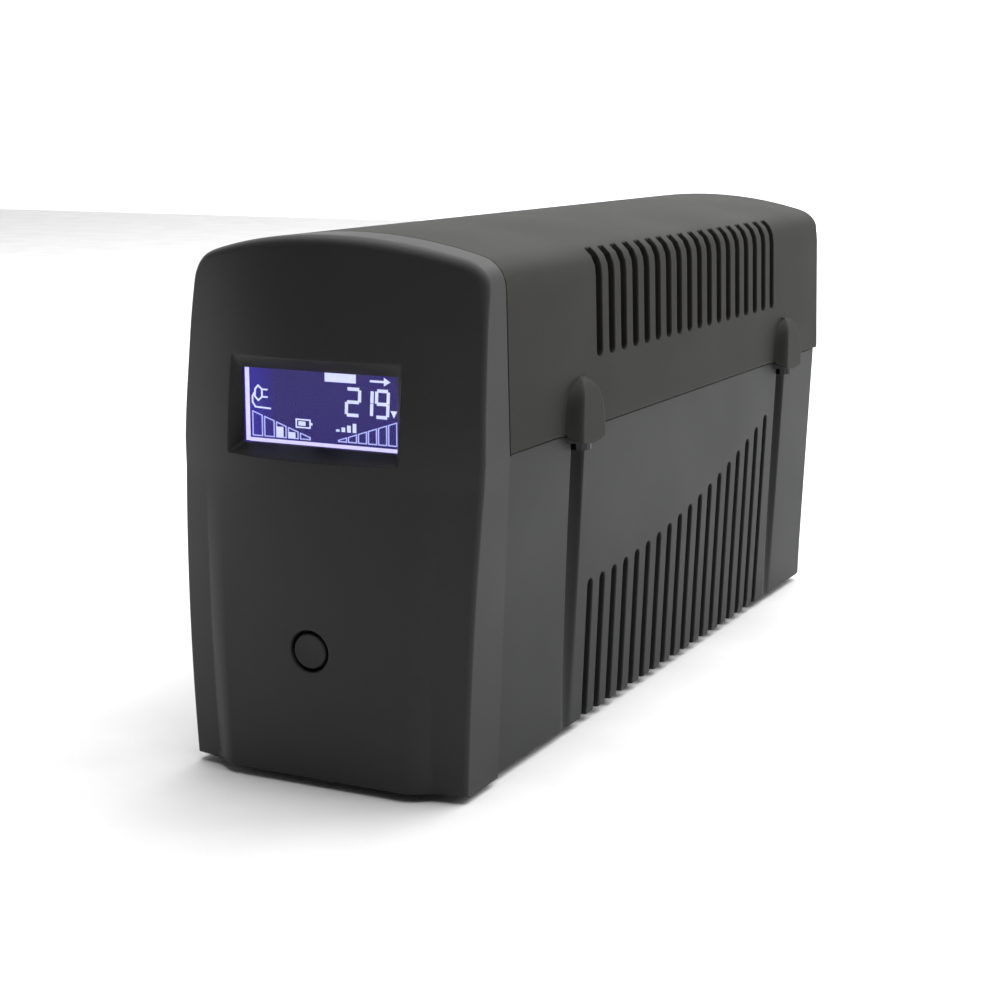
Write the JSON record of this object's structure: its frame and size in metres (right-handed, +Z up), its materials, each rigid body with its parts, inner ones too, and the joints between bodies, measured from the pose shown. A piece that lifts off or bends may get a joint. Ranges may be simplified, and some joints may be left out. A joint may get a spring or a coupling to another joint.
{
  "type": "uninterruptible power supply",
  "caption": "Slim tower uninterruptible power supply with a lit front display, a push button, side vents and rear sockets.",
  "frame": {"origin": "middle of the overall box at floor level, under the four feet", "axes": "+X to the right seen from the front, +Y from the display to the rear sockets, +Z up"},
  "size_m": [0.0984, 0.2866, 0.1446],
  "materials": {
    "cover_plastic": "finely textured near-black ABS, a little warm",
    "base_plastic": "finely textured near-black ABS",
    "bezel_plastic": "finely textured near-black ABS",
    "panel_plastic": "textured charcoal plastic",
    "button_plastic": "satin near-black plastic",
    "socket_plastic": "satin black plastic",
    "black_plastic": "satin black plastic",
    "foot_rubber": "matte black rubber",
    "window": "clear polished acrylic",
    "lcd": "lit violet-blue liquid crystal display with pale segments",
    "diffuser": "white diffuser frame",
    "circuit_board": "green solder mask on glass-fibre board",
    "ribbon": "grey flat cable",
    "tinned": "tinned metal",
    "brass": "bright brass strip",
    "screw_steel": "zinc plated steel",
    "tray_steel": "sheet steel painted satin black",
    "black_steel": "blackened steel",
    "battery_plastic": "dark grey ABS battery case",
    "red_lead": "red PVC insulation",
    "black_lead": "black PVC insulation",
    "aluminium": "extruded aluminium",
    "sleeve": "black shrink sleeve",
    "relay": "blue relay case",
    "core_iron": "varnished steel laminations",
    "winding": "copper winding under amber tape"
  },
  "bodies": {
    "housing": {"base_shell": "base_plastic", "battery_case": "battery_plastic", "battery_lead_negative": "black_lead", "battery_lead_positive": "red_lead", "battery_terminal_negative": "tinned", "battery_terminal_positive": "tinned", "board_tray": "tray_steel", "breaker_body": "black_plastic", "breaker_nut": "screw_steel", "buzzer": "black_plastic", "capacitor_front": "sleeve", "capacitor_rear": "sleeve", "display_board": "circuit_board", "display_ribbon": "ribbon", "display_window": "window", "foot_front_left": "foot_rubber", "foot_front_right": "foot_rubber", "foot_rear_left": "foot_rubber", "foot_rear_right": "foot_rubber", "front_bezel": "bezel_plastic", "heat_sink_left": "aluminium", "heat_sink_right": "aluminium", "housing_screw_front_left": "black_steel", "housing_screw_front_right": "black_steel", "housing_screw_rear_left": "black_steel", "housing_screw_rear_right": "black_steel", "inlet_body": "socket_plastic", "inlet_pin_earth": "tinned", "inlet_pin_line": "tinned", "inlet_pin_neutral": "tinned", "interface_board": "circuit_board", "lcd_backlight": "diffuser", "lcd_glass": "lcd", "line_jacks": "black_plastic", "main_board": "circuit_board", "mains_harness": "black_lead", "outlet_busbar_earth": "brass", "outlet_busbar_line": "brass", "outlet_busbar_neutral": "brass", "outlet_lower_left": "socket_plastic", "outlet_lower_right": "socket_plastic", "outlet_upper_left": "socket_plastic", "outlet_upper_right": "socket_plastic", "rear_panel": "panel_plastic", "relay_front": "relay", "relay_rear": "relay", "strap_screw_front": "screw_steel", "strap_screw_rear": "screw_steel", "switch_body": "black_plastic", "top_cover": "cover_plastic", "transformer_core": "core_iron", "transformer_strap": "tray_steel", "transformer_winding": "winding", "usb_port": "tinned"},
    "power_button": {"button_cap": "button_plastic", "switch_plunger": "black_plastic"},
    "breaker_reset": {"breaker_button": "black_plastic"}
  },
  "joints": [
    {"name": "power_button_press", "type": "slide", "parent": "housing", "child": "power_button", "axis": [0, 1, 0], "range_m": [0, 0.0012], "stiffness_N_per_m": 900, "springref_m": -0.0008},
    {"name": "breaker_trip", "type": "slide", "parent": "housing", "child": "breaker_reset", "axis": [0, 1, 0], "range_m": [0, 0.0035]}
  ]
}
